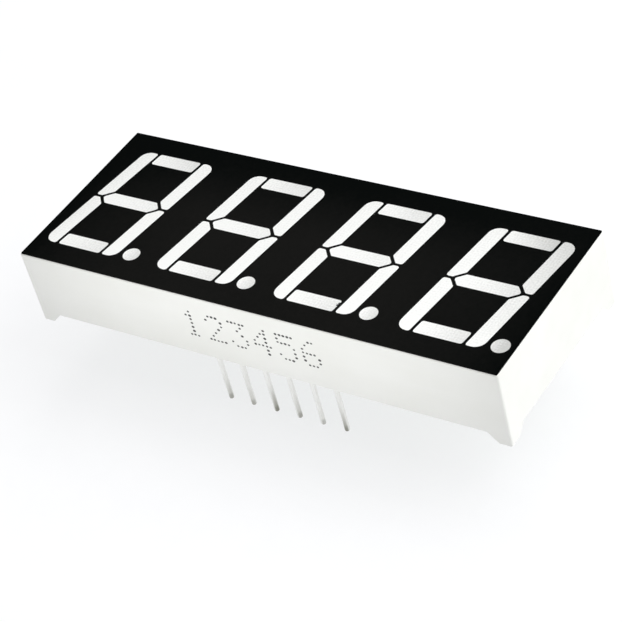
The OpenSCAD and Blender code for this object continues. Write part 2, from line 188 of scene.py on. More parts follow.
class Value:
    """A number socket in an expression, where each operator adds one Math node."""

    def __init__(self, graph: "Graph", socket: bpy.types.NodeSocket) -> None:
        """Wraps a socket of the graph."""
        self.graph = graph
        self.socket = socket

    def math(self, operation: str, *others: Number, swapped: bool = False) -> "Value":
        """Adds a Math node.

        Args:
            operation: The node's operation.
            others: The operands beside this value.
            swapped: Whether the others come first.

        Returns:
            The node's result.
        """
        operands = (*others, self) if swapped else (self, *others)
        settings = {"operation": operation}
        node = self.graph.node("ShaderNodeMath", settings, dict(enumerate(operands)))
        return Value(self.graph, node.outputs[0])

    def __add__(self, other: Number) -> "Value":
        """This plus the other."""
        return self.math("ADD", other)

    def __radd__(self, other: Number) -> "Value":
        """The other plus this."""
        return self.math("ADD", other, swapped=True)

    def __sub__(self, other: Number) -> "Value":
        """This less the other."""
        return self.math("SUBTRACT", other)

    def __rsub__(self, other: Number) -> "Value":
        """The other less this."""
        return self.math("SUBTRACT", other, swapped=True)

    def __mul__(self, other: Number) -> "Value":
        """This times the other."""
        return self.math("MULTIPLY", other)

    def __rmul__(self, other: Number) -> "Value":
        """The other times this."""
        return self.math("MULTIPLY", other, swapped=True)

    def __truediv__(self, other: Number) -> "Value":
        """This over the other."""
        return self.math("DIVIDE", other)

    def __lt__(self, other: Number) -> "Value":
        """1 where this is below the other, else 0."""
        return self.math("LESS_THAN", other)

    def __gt__(self, other: Number) -> "Value":
        """1 where this is above the other, else 0."""
        return self.math("GREATER_THAN", other)

    def __abs__(self) -> "Value":
        """This without its sign."""
        return self.math("ABSOLUTE")

    def __mod__(self, other: Number) -> "Value":
        """The remainder of this over the other, never below 0."""
        return self.math("FLOORED_MODULO", other)

    def wrapped(self, first: float, pitch: float) -> "Value":
        """How far this lies from the nearest place of a row, given its first place and pitch."""
        return (self + (pitch / 2 - first)) % pitch - pitch / 2

    def at_least(self, other: Number) -> "Value":
        """The larger of this and the other."""
        return self.math("MAXIMUM", other)

    def sine(self) -> "Value":
        """The sine of this, in radians."""
        return self.math("SINE")

    def hypotenuse(self, other: "Value") -> "Value":
        """The length of a right triangle's long side over this and the other."""
        return (self * self + other * other).math("SQRT")

    def step(self, start: float, end: float) -> "Value":
        """A smooth step between two places.

        Args:
            start: Where it is still 0. It may be larger than the end.
            end: Where it is 1.

        Returns:
            The step, from 0 to 1.
        """
        settings = {"interpolation_type": "SMOOTHSTEP"}
        swapped = start > end
        low, high = min(start, end), max(start, end)
        inputs = {"Value": self, "From Min": low, "From Max": high}
        node = self.graph.node("ShaderNodeMapRange", settings, inputs)
        rise = Value(self.graph, node.outputs["Result"])
        return 1 - rise if swapped else rise

    def spread(self) -> "Value":
        """A noise pattern's usual span drawn out to run from 0 to 1."""
        return self.step(*NOISE_SPAN)


class Graph:
    """A node tree, with one method that adds any node but those of an expression."""

    def __init__(self, tree: bpy.types.NodeTree) -> None:
        """Starts from an empty tree."""
        tree.nodes.clear()
        self.tree = tree

    def node(self, kind: str, settings: Settings = None, inputs: Inputs = None) -> bpy.types.Node:
        """Adds a node.

        Args:
            kind: The node's type.
            settings: Its properties, set first.
            inputs: A number, colour, vector, material, socket or Value for each named socket.

        Returns:
            The new node.
        """
        node = self.tree.nodes.new(kind)
        for name, setting in (settings or {}).items():
            setattr(node, name, setting)
        for key, content in (inputs or {}).items():
            self.feed(node.inputs[key], content)
        return node

    def feed(self, socket: bpy.types.NodeSocket, content: Any) -> None:
        """Links a socket to a value or another socket, or sets its own number or colour.

        Args:
            socket: The socket.
            content: A number, colour, vector, material, socket or Value.
        """
        if isinstance(content, Value):
            content = content.socket
        if isinstance(content, bpy.types.NodeSocket):
            self.tree.links.new(content, socket)
        elif socket.type == "RGBA" and len(content) == 3:
            socket.default_value = (*content, 1.0)
        else:
            socket.default_value = content


class ShaderGraph(Graph):
    """The node tree of a material, whose patterns are sized in millimetres of the row's frame."""

    def __init__(self, tree: bpy.types.NodeTree) -> None:
        """Adds the place of a surface point in millimetres.

        Args:
            tree: The material's node tree.
        """
        super().__init__(tree)
        coordinates = self.node("ShaderNodeTexCoord")
        scaled = {0: coordinates.outputs["Object"], "Scale": 1 / MM}
        self.place = self.node("ShaderNodeVectorMath", {"operation": "SCALE"}, scaled).outputs[0]
        self.parts = self.node("ShaderNodeSeparateXYZ", inputs={0: self.place})

    def along(self, axis: Axis) -> Value:
        """The place along an axis, in millimetres."""
        return Value(self, self.parts.outputs[axis.value])

    def waves(self, pitch: float) -> tuple[Value, Value]:
        """Waves between -1 and 1 along X and along Y, at a pitch in millimetres."""
        turn = 2 * math.pi / pitch
        return (self.along(Axis.X) * turn).sine(), (self.along(Axis.Y) * turn).sine()

    def stretched(self, stretch: Colour) -> bpy.types.NodeSocket:
        """The place with each axis multiplied, for a pattern drawn out along the others."""
        settings = {"operation": "MULTIPLY"}
        return self.node("ShaderNodeVectorMath", settings, {0: self.place, 1: stretch}).outputs[0]

    def noise(
        self, per_mm: float, detail: float = 2.0, stretch: Colour = (1, 1, 1), seed: float = 0.0
    ) -> Value:
        """A cloudy pattern.

        Args:
            per_mm: How many features there are to a millimetre.
            detail: How many finer layers it holds.
            stretch: The share of that density along each axis.
            seed: Which of many such patterns it is.

        Returns:
            A value of about 0.5, mostly between 0.3 and 0.7.
        """
        inputs = {"Vector": self.stretched(stretch), "W": seed, "Scale": per_mm, "Detail": detail}
        node = self.node("ShaderNodeTexNoise", {"noise_dimensions": "4D"}, inputs)
        return Value(self, node.outputs[0])

    def specks(self, per_mm: float, share: float, radius: float, seed: float = 0.0) -> Value:
        """Scattered soft dots.

        Args:
            per_mm: How many cells there are to a millimetre.
            share: The share of cells that hold a dot.
            radius: The radius of the largest dots, as a share of a cell.
            seed: Which of many such patterns it is.

        Returns:
            A value of 1 in a dot and 0 outside.
        """
        inputs = {"Vector": self.place, "W": seed, "Scale": per_mm, "Randomness": 1.0}
        cells = self.node("ShaderNodeTexVoronoi", {"voronoi_dimensions": "4D"}, inputs)
        chance = self.node("ShaderNodeSeparateXYZ", inputs={0: cells.outputs["Color"]})
        size = Value(self, chance.outputs["X"]).step(1 - share, 1.0) * radius
        return (Value(self, cells.outputs["Distance"]) - size).step(0.1 * radius, -0.1 * radius)

    def mix(self, share: Number, first: Any, second: Any) -> bpy.types.NodeSocket:
        """A colour between two colours.

        Args:
            share: The second colour's share, held between 0 and 1.
            first: A colour or a socket.
            second: A colour or a socket.

        Returns:
            The colour's socket.
        """
        settings = {"data_type": "RGBA", "clamp_factor": True}
        node = self.node("ShaderNodeMix", settings, {"Factor": share})
        self.feed(node.inputs[MIX_FIRST], first)
        self.feed(node.inputs[MIX_SECOND], second)
        return node.outputs[MIX_RESULT]

    def bump(self, height: Value, depth: float) -> bpy.types.NodeSocket:
        """A normal for a relief.

        Args:
            height: The relief, from 0 to 1.
            depth: What 1 stands for, in millimetres.

        Returns:
            The normal.
        """
        inputs = {"Height": height, "Distance": depth * MM, "Strength": 1.0}
        return self.node("ShaderNodeBump", inputs=inputs).outputs[0]


# ---- Finishes


@dataclass(frozen=True)
class Finish(ABC):
    """A material, whose pattern and numbers a finish of its own states."""

    @abstractmethod
    def surface(self, graph: ShaderGraph) -> Mapping[str, Any]:
        """Draws the pattern.

        Args:
            graph: The material's tree.

        Returns:
            What each named socket of the Principled shader gets.
        """

    def material(self, name: str) -> bpy.types.Material:
        """Makes the material under the given name.

        Args:
            name: The material's name.

        Returns:
            The material.
        """
        made = bpy.data.materials.new(name)
        made.use_nodes = True
        graph = ShaderGraph(made.node_tree)
        shader = graph.node("ShaderNodeBsdfPrincipled", inputs=self.surface(graph))
        graph.node("ShaderNodeOutputMaterial", inputs={"Surface": shader.outputs[0]})
        return made


@dataclass(frozen=True)
class MouldedPlastic(Finish):
    """White plastic with the fine texture of a spark-eroded mould and a few dark inclusions."""

    light: Colour = (0.86, 0.865, 0.835)
    dark: Colour = (0.82, 0.825, 0.785)
    inclusion: Colour = (0.35, 0.32, 0.27)
    texture_per_mm: float = 11.0
    texture_depth: float = 0.004

    def surface(self, graph: ShaderGraph) -> Mapping[str, Any]:
        """Clouds of tone, a fine even texture and sparse specks.

        Args:
            graph: The material's tree.

        Returns:
            The shader's inputs.
        """
        cloud = graph.noise(0.16, 3, seed=1)
        flow = graph.noise(0.5, 2, stretch=(0.15, 1, 1), seed=2)
        texture = graph.noise(self.texture_per_mm, 3, seed=3)
        specks = graph.specks(1.1, 0.04, 0.07, seed=4)
        tone = graph.mix((cloud * 0.7 + flow * 0.3).spread(), self.light, self.dark)
        return {
            "Base Color": graph.mix(specks * 0.5, tone, self.inclusion),
            "Roughness": 0.4 + texture * 0.2,
            "IOR": 1.5,
            "Normal": graph.bump(texture * 0.7 + flow * 0.3, self.texture_depth),
        }


@dataclass(frozen=True)
class ScreenInk(Finish):
    """Matt black ink laid through a fine mesh, with a painted sheen that lightens it towards the
    middle and front of the face.
    """

    # the lighter tone takes the painted sheen as well as the ink's random mottling
    sheen_and_pale_ink: Colour = (0.0085, 0.0084, 0.0078)
    dark_ink: Colour = (0.0012, 0.0019, 0.0017)
    dust: Colour = (0.09, 0.088, 0.082)
    half_length: float = 25.0
    half_width: float = 9.5
    mesh_pitch: float = 0.12
    mesh_depth: float = 0.0016
    painted_sheen_share: float = 0.85
    cloud_share: float = 0.5
    grain_share: float = 0.7

    def surface(self, graph: ShaderGraph) -> Mapping[str, Any]:
        """A woven relief, a slow painted sheen, soft clouds and sparse dust.

        Args:
            graph: The material's tree.

        Returns:
            The shader's inputs.
        """
        across, along = graph.waves(self.mesh_pitch)
        cloud = graph.noise(0.11, 3, seed=11)
        grain = graph.noise(3.2, 3, seed=12)
        dust = graph.specks(1.6, 0.05, 0.05, seed=13)
        reach = graph.along(Axis.X) / self.half_length
        far = reach * reach
        # painted sheen: lighter towards the middle of the row and over the front half of the face
        painted_sheen = (1 - far * far) * graph.along(Axis.Y).step(self.half_width, 0.0)
        sheen_and_mottle = (
            self.painted_sheen_share * painted_sheen
            + self.cloud_share * (cloud - 0.5)
            + self.grain_share * (grain - 0.5)
        )
        tone = graph.mix(sheen_and_mottle, self.dark_ink, self.sheen_and_pale_ink)
        return {
            "Base Color": graph.mix(dust * 0.6, tone, self.dust),
            "Roughness": 0.56 + 0.2 * grain + 0.1 * cloud,
            "Specular IOR Level": 0.02,
            "Normal": graph.bump(0.5 + 0.2 * across * along + 0.3 * grain, self.mesh_depth),
        }


@dataclass(frozen=True)
class ResinShadeAndTexture:
    """How much painted shade darkens the resin below its brightest, where 1 is its darkest tone,
    and how strong its haze and cloth print are.

    A bow counts towards the head and foot of a digit, a rise towards its head and a slope towards
    its right. The ends are those of the whole row.
    """

    least: float = 0.02
    level: float = 0.04
    level_bow: float = 0.2
    level_rise: float = 0.07
    level_slope: float = 0.13
    level_slope_bow: float = 0.12
    upright_rise: float = 0.14
    point: float = 0.3
    point_slope: float = 0.3
    right_end: float = 0.5
    right_end_rise: float = 0.25
    right_end_point: float = 0.3
    left_end: float = 0.15
    haze: float = 0.12
    cloth: float = 0.85


@dataclass(frozen=True)
class MilkyResin(Finish):
    """Milky casting resin, level with the face, with painted shade that darkens each level bar
    towards its right and the row towards its ends.

    Its face keeps the faint print of the cloth tape it was cast against. The bars of a digit are
    told apart by their place across it: the level ones lie in its middle, and the point beyond
    its upright ones.
    """

    bright: Colour = (0.972, 0.98, 0.962)
    # the darkest tone, reached by painted shade and by the real haze and cloth print
    shade_and_haze_tone: Colour = (0.575, 0.58, 0.565)
    ink: Colour = (0.012, 0.012, 0.012)
    shade_and_texture: ResinShadeAndTexture = ResinShadeAndTexture()
    right_start: float = 14.0
    right_run: float = 10.0
    left_start: float = -18.0
    left_run: float = 5.0
    fleck_radius: float = 0.14
    fleck_edge: float = 0.008
    fleck_unevenness: float = 0.7
    fleck_squeeze: float = 0.5
    cloth_pitch: float = 0.3
    thread_share: float = 0.05
    margin: float = 0.12
    grid: DigitGrid = field(kw_only=True)
    fleck: tuple[float, float] = field(kw_only=True)

    def shade(self, graph: ShaderGraph) -> Value:
        """Painted shade: the slow darkening along each bar and towards the row's ends.

        Args:
            graph: The material's tree.

        Returns:
            The share of the darkest tone.
        """
        x, y = graph.along(Axis.X), graph.along(Axis.Y)
        grid, shade_and_texture = self.grid, self.shade_and_texture
        across = (x - y * grid.lean).wrapped(grid.first, grid.pitch)
        aside = abs(across)
        middle_bar = (aside + abs(y)) < (grid.middle_reach + self.margin)
        level = (aside < (grid.bar_reach + self.margin)).at_least(middle_bar)
        point = across > (grid.point_place - grid.point_radius - self.margin)
        upright = 1 - level - point
        along_bar = across / grid.bar_reach
        along_point = (across - grid.point_place) / grid.point_radius
        rise = y / grid.half_height
        bow = rise * rise
        right_end = ((x - self.right_start) / self.right_run).at_least(0.0)
        left_end = ((self.left_start - x) / self.left_run).at_least(0.0)
        level_shade = (
            shade_and_texture.level
            + shade_and_texture.level_bow * bow
            + shade_and_texture.level_rise * rise
            + along_bar * (shade_and_texture.level_slope + shade_and_texture.level_slope_bow * bow)
        )
        right_shade = (
            shade_and_texture.right_end + shade_and_texture.right_end_rise * rise + shade_and_texture.right_end_point * point
        )
        return (
            shade_and_texture.least
            + level * level_shade
            + upright * shade_and_texture.upright_rise * rise * abs(rise)
            + point * (shade_and_texture.point + shade_and_texture.point_slope * along_point)
            + right_end * right_end * right_shade
            + shade_and_texture.left_end * left_end * left_end
        )

    def fleck_mask(self, graph: ShaderGraph) -> Value:
        """1 in the ragged fleck of ink that lies on one bar, else 0.

        Args:
            graph: The material's tree.

        Returns:
            The fleck's mask.
        """
        aside = graph.along(Axis.X) - self.fleck[0]
        away = (graph.along(Axis.Y) - self.fleck[1]) * self.fleck_squeeze
        rim = (graph.noise(6, 3, seed=22) - 0.5) * self.fleck_unevenness
        outside, inside = self.fleck_radius + self.fleck_edge, self.fleck_radius - self.fleck_edge
        return (aside.hypotenuse(away) + rim).step(outside, inside)

    def surface(self, graph: ShaderGraph) -> Mapping[str, Any]:
        """Painted shade, haze, the print of cloth and a fleck of ink.

        Args:
            graph: The material's tree.

        Returns:
            The shader's inputs.
        """
        haze = graph.noise(0.7, 3, seed=21)
        across, along = graph.waves(self.cloth_pitch)
        cloth = self.thread_share * (across + along) + graph.noise(6, 1, seed=24) - 0.5
        scratch = graph.noise(9, 2, stretch=(1, 0.2, 1), seed=23)
        patchy = (haze - 0.5) * self.shade_and_texture.haze + cloth * self.shade_and_texture.cloth
        # painted shade plus the real haze and cloth print, mixed towards the darkest tone
        tone = graph.mix(self.shade(graph) + patchy, self.bright, self.shade_and_haze_tone)
        return {
            "Base Color": graph.mix(self.fleck_mask(graph), tone, self.ink),
            "Roughness": 0.3 + 0.16 * haze + 0.1 * scratch,
            "IOR": 1.5,
            "Normal": graph.bump(haze * 0.6 + scratch * 0.4 + cloth, 0.003),
        }


@dataclass(frozen=True)
class SolderResist(Finish):
    """Green resist over a woven glass laminate."""

    light: Colour = (0.035, 0.21, 0.075)
    dark: Colour = (0.02, 0.14, 0.05)
    weave_pitch: float = 0.55

    def surface(self, graph: ShaderGraph) -> Mapping[str, Any]:
        """The weave shows through a level, glossy coat.

        Args:
            graph: The material's tree.

        Returns:
            The shader's inputs.
        """
        across, along = graph.waves(self.weave_pitch)
        weave = across * along
        cloud = graph.noise(0.6, 2, seed=31)
        return {
            "Base Color": graph.mix((cloud + 0.15 * weave).spread(), self.dark, self.light),
            "Roughness": 0.22 + 0.2 * cloud,
            "Normal": graph.bump(0.5 + 0.25 * weave + 0.2 * cloud, 0.006),
        }


@dataclass(frozen=True)
class ResistedCopper(Finish):
    """Copper under green resist, bare and tinned on the pads round the pins."""

    covered: Colour = (0.08, 0.38, 0.13)
    covered_dark: Colour = (0.055, 0.3, 0.1)
    tinned: Colour = (0.66, 0.64, 0.6)
    pad_radius: float = 0.66
    grid: PinGrid = field(kw_only=True)

    def surface(self, graph: ShaderGraph) -> Mapping[str, Any]:
        """A ring of tin round each pin, and resist over the tracks.

        Args:
            graph: The material's tree.

        Returns:
            The shader's inputs.
        """
        aside, away = self.grid.around(graph)
        pad = aside.hypotenuse(away) < self.pad_radius
        cloud = graph.noise(1.4, 3, seed=41)
        covered = graph.mix(cloud.spread(), self.covered_dark, self.covered)
        return {
            "Base Color": graph.mix(pad, covered, self.tinned),
            "Metallic": pad,
            "Roughness": 0.24 + 0.2 * cloud,
            "Normal": graph.bump(cloud, 0.006),
        }


@dataclass(frozen=True)
class PolishedDie(Finish):
    """A polished light emitting die with fine saw marks down its sides."""

    light: Colour = (0.62, 0.46, 0.16)
    dark: Colour = (0.36, 0.22, 0.07)

    def surface(self, graph: ShaderGraph) -> Mapping[str, Any]:
        """Level saw marks over a clouded amber.

        Args:
            graph: The material's tree.

        Returns:
            The shader's inputs.
        """
        saw = graph.noise(40, 2, stretch=(0.1, 0.1, 1), seed=51)
        cloud = graph.noise(4, 2, seed=52)
        return {
            "Base Color": graph.mix(cloud.spread(), self.dark, self.light),
            "Roughness": 0.15 + 0.3 * saw,
            "Normal": graph.bump(saw, 0.002),
        }


@dataclass(frozen=True)
class DrawnGold(Finish):
    """Fine gold wire with the faint marks of its die."""

    light: Colour = (0.9, 0.68, 0.28)
    dark: Colour = (0.72, 0.5, 0.17)

    def surface(self, graph: ShaderGraph) -> Mapping[str, Any]:
        """Short changes of tone along the wire.

        Args:
            graph: The material's tree.

        Returns:
            The shader's inputs.
        """
        cloud = graph.noise(6, 3, seed=61)
        return {
            "Base Color": graph.mix(cloud.spread(), self.dark, self.light),
            "Metallic": 1.0,
            "Roughness": 0.18 + 0.2 * cloud,
            "Normal": graph.bump(cloud, 0.001),
        }


@dataclass(frozen=True)
class SatinSolder(Finish):
    """Solder that set with a satin, slightly grainy face and a trace of flux."""

    light: Colour = (0.78, 0.78, 0.79)
    dark: Colour = (0.55, 0.56, 0.58)
    flux: Colour = (0.5, 0.36, 0.16)

    def surface(self, graph: ShaderGraph) -> Mapping[str, Any]:
        """Fine grains, with amber patches of flux.

        Args:
            graph: The material's tree.

        Returns:
            The shader's inputs.
        """
        grain = graph.noise(14, 4, seed=71)
        flux = graph.noise(1.6, 2, seed=72).step(0.58, 0.7)
        tone = graph.mix(grain.spread(), self.dark, self.light)
        return {
            "Base Color": graph.mix(flux * 0.5, tone, self.flux),
            "Metallic": 1 - 0.6 * flux,
            "Roughness": 0.22 + 0.28 * grain,
            "Normal": graph.bump(grain, 0.006),
        }


@dataclass(frozen=True)
class ClearResin(Finish):
    """Clear casting resin with a level face, a faint straw tint and a few small bubbles."""

    tint: Colour = (0.8, 0.79, 0.66)
    bubble: Colour = (0.9, 0.9, 0.88)
    clearness: float = 0.85

    def surface(self, graph: ShaderGraph) -> Mapping[str, Any]:
        """Slow ripples, and bubbles that show paler.

        Args:
            graph: The material's tree.

        Returns:
            The shader's inputs.
        """
        ripple = graph.noise(0.25, 2, seed=81)
        bubbles = graph.specks(0.8, 0.12, 0.12, seed=82)
        return {
            "Base Color": graph.mix(bubbles * 0.7, self.tint, self.bubble),
            "Roughness": 0.05 + 0.08 * ripple,
            "IOR": 1.52,
            "Alpha": (1 - self.clearness) + 0.25 * bubbles + 0.1 * ripple,
            "Normal": graph.bump(ripple, 0.03),
        }


@dataclass(frozen=True)
class TinnedWire(Finish):
    """Tinned wire with fine drawn lines, and a painted dark reflection down one flank that widens
    towards its cut tip.
    """

    light: Colour = (0.96, 0.96, 0.94)
    dark: Colour = (0.84, 0.84, 0.81)
    # The next two tones are painted dark reflection: along each streak towards the tip, and at the
    # tip itself.
    dark_reflection_tone: Colour = (0.192, 0.188, 0.142)
    tip: Colour = (0.17, 0.167, 0.135)
    dark_reflection_height: float = 5.5
    dark_reflection_depth: float = 5.3
    dark_reflection_least: float = 0.05
    dark_reflection_range: float = 0.7
    # Where the painted dark reflection at the tip begins, over what height it deepens, and how
    # strong it grows.
    tip_height: float = 0.9
    tip_depth: float = 0.5
    tip_share: float = 0.42
    streak_rim: tuple[float, float] = (0.4, 0.95)
    streak_least: float = 0.1
    streak_length: float = 18.0
    streak_turn: float = 3.2
    streak_seed: int = 1426
    dark_reflection_seed: int = 278
    dark_reflection_span: tuple[float, float] = (0.3, 0.68)
    radius: float = 0.25
    grid: PinGrid = field(kw_only=True)

    def of_each_wire(self, graph: ShaderGraph, seed: float) -> Value:
        """A value of about 0.5 that hardly changes within a wire but differs between wires."""
        return graph.noise(0.33, 1, stretch=(1, 1, 0), seed=seed)

    def streak(self, graph: ShaderGraph) -> Value:
        """How much a point lies in its wire's streak of painted dark reflection.

        The streaks lie about the outer right of the wires, each turned by an angle of its own.

        Args:
            graph: The material's tree.

        Returns:
            1 in the middle of the streak, and little on the other side of the wire.
        """
        aside, away = self.grid.around(graph)
        turn = math.pi / 4 + self.streak_turn * (self.of_each_wire(graph, self.streak_seed) - 0.5)
        facing = (aside * (turn + math.pi / 2).sine() + away * turn.sine()) / self.radius
        narrowed = facing - graph.along(Axis.Z) / self.streak_length
        return self.streak_least + (1 - self.streak_least) * narrowed.step(*self.streak_rim)

    def surface(self, graph: ShaderGraph) -> Mapping[str, Any]:
        """Lines along the wire, patches of duller tin, and painted dark reflection that grows
        towards the tip, strongest on a streak of each wire's own.

        Args:
            graph: The material's tree.

        Returns:
            The shader's inputs.
        """
        lines = graph.noise(16, 2, stretch=(1, 1, 0.06), seed=91)
        patches = graph.noise(1.3, 3, stretch=(1, 1, 0.5), seed=92)
        each = self.of_each_wire(graph, self.dark_reflection_seed).step(*self.dark_reflection_span)
        height, streak = graph.along(Axis.Z), self.streak(graph)
        patchy = height + 0.8 * (patches - 0.5)
        grown = patchy.step(self.dark_reflection_height, self.dark_reflection_height - self.dark_reflection_depth)
        # painted dark reflection, growing towards the cut tip and strongest on each wire's streak
        dark_reflection = grown * grown * (self.dark_reflection_least + self.dark_reflection_range * each) * streak
        # more painted dark reflection over the last part of the tip, on the streak
        cut = height.step(self.tip_height, self.tip_height - self.tip_depth)
        tip_dark_reflection = cut * self.tip_share * streak
        bare_tin = graph.mix((lines * 0.6 + patches * 0.4).step(0.34, 0.66), self.dark, self.light)
        return {
            "Base Color": graph.mix(tip_dark_reflection, graph.mix(dark_reflection, bare_tin, self.dark_reflection_tone), self.tip),
            "Metallic": 1.0,
            "Roughness": 0.24 + 0.16 * patches + 0.1 * dark_reflection,
            "Normal": graph.bump(lines * 0.6 + patches * 0.4, 0.004),
        }


@dataclass(frozen=True)
class MarkingInk(Finish):
    """Thin grey-black marking ink that dried a little unevenly from dot to dot."""

    light: Colour = (0.09, 0.09, 0.088)
    dark: Colour = (0.015, 0.015, 0.016)

    def surface(self, graph: ShaderGraph) -> Mapping[str, Any]:
        """Dots of differing strength with a dry, matt face.

        Args:
            graph: The material's tree.

        Returns:
            The shader's inputs.
        """
        strength = graph.noise(2.2, 3, seed=101)
        grain = graph.noise(30, 2, seed=102)
        return {
            "Base Color": graph.mix(strength.step(0.32, 0.68), self.dark, self.light),
            "Roughness": 0.55 + 0.2 * grain,
            "Normal": graph.bump(grain, 0.003),
        }


@dataclass(frozen=True)
class PaleFloor(Finish):
    """A plain pale light table with hardly any grain, whose glow keeps shadows faint."""

    light: Colour = (0.228, 0.229, 0.232)
    dark: Colour = (0.215, 0.217, 0.221)
    glow: Colour = (0.982, 0.987, 1.0)
    glow_strength: float = 0.79

    def surface(self, graph: ShaderGraph) -> Mapping[str, Any]:
        """A faint, even grain.

        Args:
            graph: The material's tree.

        Returns:
            The shader's inputs.
        """
        grain = graph.noise(0.4, 4, seed=111)
        return {
            "Base Color": graph.mix(grain.spread(), self.dark, self.light),
            "Emission Color": self.glow,
            "Emission Strength": self.glow_strength,
            "Roughness": 0.7 + 0.1 * grain,
            "Normal": graph.bump(grain, 0.01),
        }


# ---- Pieces made with Geometry Nodes


class SizeSocket(Enum):
    """The type of a named input of a Geometry Nodes tree."""

    LENGTH = "NodeSocketFloat"
    PLACE = "NodeSocketVector"
    MATERIAL = "NodeSocketMaterial"


class PieceTree(Graph):
    """A Geometry Nodes tree with named inputs, which turns one seed object into one piece."""

    def __init__(self, name: str, inputs: Mapping[str, SizeSocket]) -> None:
        """Makes the tree and its inputs.

        Args:
            name: The tree's name.
            inputs: The name and type of each input beside the geometry.
        """
        super().__init__(bpy.data.node_groups.new(name, "GeometryNodeTree"))
        interface = self.tree.interface
        interface.new_socket("Geometry", in_out="INPUT", socket_type="NodeSocketGeometry")
        interface.new_socket("Geometry", in_out="OUTPUT", socket_type="NodeSocketGeometry")
        self.identifiers = {
            label: interface.new_socket(label, in_out="INPUT", socket_type=kind.value).identifier
            for label, kind in inputs.items()
        }
        self.entry = self.node("NodeGroupInput")

    def given(self, label: str) -> bpy.types.NodeSocket:
        """The socket of an input inside the tree."""
        return self.entry.outputs[label]

    def size(self, label: str) -> Value:
        """A length input as a value."""
        return Value(self, self.given(label))

    def finish(self, geometry: bpy.types.NodeSocket) -> None:
        """Ends the tree with real geometry in the given material.

        Args:
            geometry: What the tree has made.
        """
        real = self.node("GeometryNodeRealizeInstances", inputs={0: geometry})
        dressed = {"Geometry": real.outputs[0], "Material": self.given("Material")}
        painted = self.node("GeometryNodeSetMaterial", inputs=dressed)
        self.node("NodeGroupOutput", inputs={0: painted.outputs[0]})

    def apply(self, name: str, seed: bpy.types.Mesh, sizes: Mapping[str, Any]) -> bpy.types.Object:
        """Runs the tree on a seed mesh and keeps the result as a plain mesh.

        Args:
            name: The piece's name.
            seed: The mesh that the tree starts from.
            sizes: What each named input gets.

        Returns:
            The piece, at the origin and with no modifier.
        """
        piece = bpy.data.objects.new(name, seed)
        bpy.context.scene.collection.objects.link(piece)
        modifier = piece.modifiers.new("build", "NODES")
        modifier.node_group = self.tree
        for label, content in sizes.items():
            modifier[self.identifiers[label]] = content
        evaluated = piece.evaluated_get(bpy.context.evaluated_depsgraph_get())
        mesh = bpy.data.meshes.new_from_object(evaluated)
        piece.modifiers.remove(modifier)
        piece.data = mesh
        mesh.name = name
        bpy.data.meshes.remove(seed)
        return piece


def point_mesh(name: str, places: Sequence[Vector]) -> bpy.types.Mesh:
    """A mesh of loose points, in metres.

    Args:
        name: The mesh's name.
        places: The points.

    Returns:
        The mesh.
    """
    mesh = bpy.data.meshes.new(name)
    mesh.from_pydata([tuple(place) for place in places], [], [])
    return mesh


